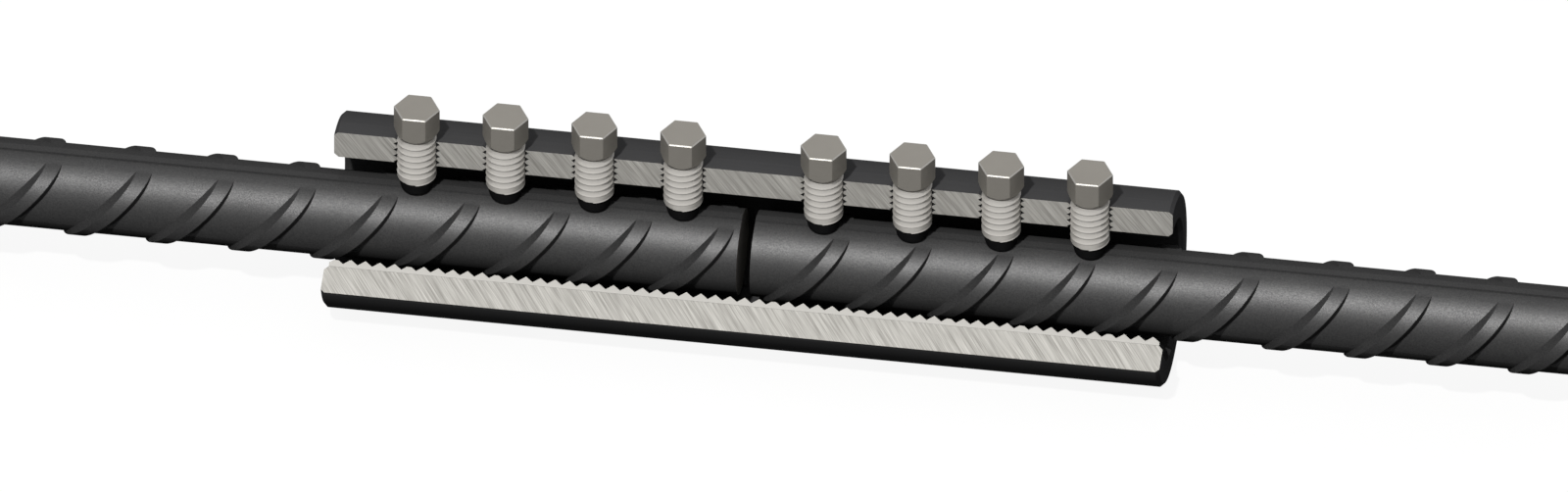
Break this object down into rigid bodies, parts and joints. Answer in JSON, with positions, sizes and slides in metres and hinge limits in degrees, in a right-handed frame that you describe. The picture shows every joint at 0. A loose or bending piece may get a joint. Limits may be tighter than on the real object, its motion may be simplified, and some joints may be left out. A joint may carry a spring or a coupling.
{
  "type": "rebar coupler",
  "caption": "Thick steel sleeve with a row of shear-head bolts clamping butted ribbed reinforcing bars on toothed saddles, with a sector cut away to show the inside.",
  "frame": {"origin": "on the two bars' common axis, midway along the sleeve", "axes": "+X runs along the bars to the right, +Z runs along the bolts towards their heads, and -Y faces the side that is cut open"},
  "size_m": [0.516, 0.0586, 0.073],
  "materials": {
    "sleeve_steel": "black satin outside and in the bore, ground bright on the cut faces",
    "saddle_steel": "machined, bright on the cut face",
    "bar_steel": "dark grey mill scale, satin",
    "bolt_steel": "turned and hardened grey steel, rolled thread"
  },
  "bodies": {
    "root": {"sleeve": "sleeve_steel", "saddle_front": "saddle_steel", "saddle_rear": "saddle_steel", "bar_left": "bar_steel", "bar_right": "bar_steel", "bolt_1": "bolt_steel", "bolt_2": "bolt_steel", "bolt_3": "bolt_steel", "bolt_4": "bolt_steel", "bolt_5": "bolt_steel", "bolt_6": "bolt_steel", "bolt_7": "bolt_steel", "bolt_8": "bolt_steel"}
  },
  "joints": []
}
